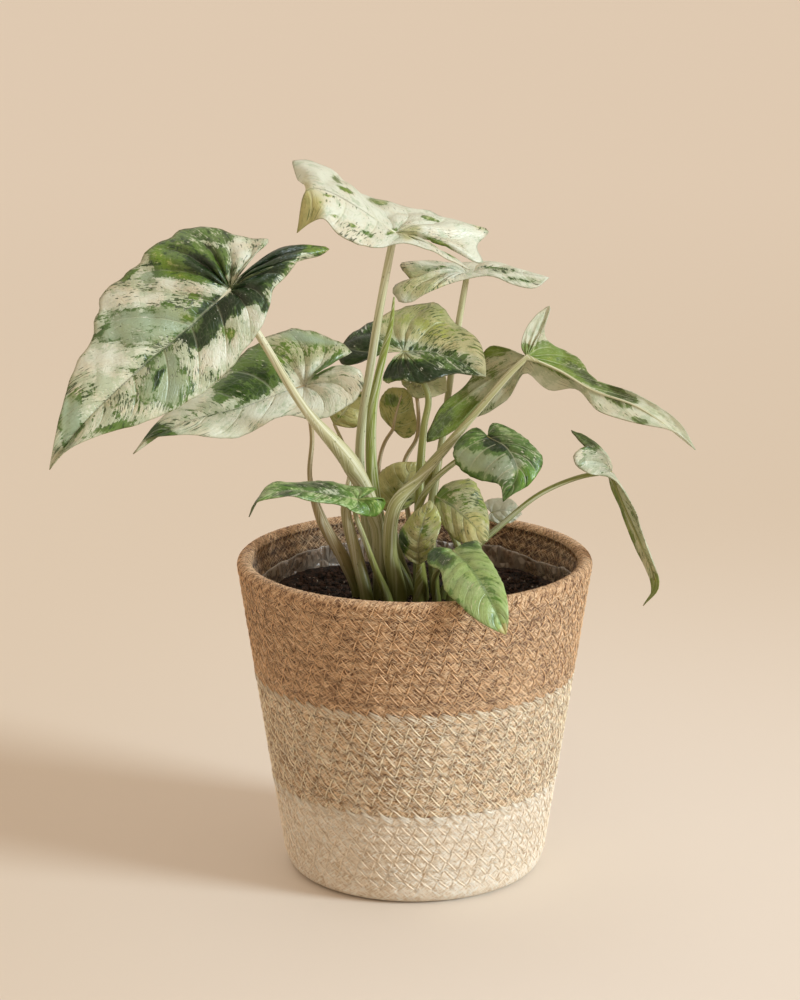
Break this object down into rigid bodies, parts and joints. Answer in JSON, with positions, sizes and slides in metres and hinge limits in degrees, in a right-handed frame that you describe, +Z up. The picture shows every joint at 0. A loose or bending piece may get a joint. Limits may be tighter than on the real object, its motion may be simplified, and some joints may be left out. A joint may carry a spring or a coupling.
{
  "type": "potted alocasia",
  "caption": "Variegated alocasia with arrow-shaped leaves on long stalks, in a coiled rope basket with a film liner and soil; it stands on its flat base.",
  "frame": {"origin": "centre of the basket's base, on the surface that it stands on", "axes": "+Z up; -Y is the front, the side that the large left leaf and the leaf over the rim lean to; +X is to the right seen from the front"},
  "size_m": [0.3618, 0.2212, 0.4183],
  "materials": {
    "cream_rope": "coiled jute rope, bleached",
    "natural_rope": "coiled jute rope, natural, with pale stitching",
    "brown_rope": "coiled jute rope, brown",
    "film": "thin crumpled film",
    "soil": "moist potting soil",
    "white_green": "living leaf, white with green marbling, satin",
    "mixed_green": "living leaf, cream and green marbling, satin",
    "full_green": "living leaf, green with paler veins, satin",
    "brown_green": "living leaf, brownish with spots, satin"
  },
  "bodies": {
    "root": {"basket_cream": "cream_rope", "basket_natural": "natural_rope", "basket_brown": "brown_rope", "liner": "film", "soil": "soil", "leaf_broad_left": "white_green", "leaf_low_left": "white_green", "leaf_high_middle": "white_green", "leaf_high_right": "white_green", "leaf_centre": "mixed_green", "leaf_under_centre": "mixed_green", "leaf_far_right": "mixed_green", "leaf_dark_right": "full_green", "leaf_drooping_right": "mixed_green", "leaf_small_left": "full_green", "leaf_over_rim": "full_green", "leaf_pale_right": "mixed_green", "leaf_spotted": "mixed_green", "leaf_brown_left": "brown_green", "leaf_brown_middle": "brown_green", "leaf_pale_behind": "mixed_green", "leaf_grey_behind": "mixed_green", "leaf_rolled": "full_green"}
  },
  "joints": []
}
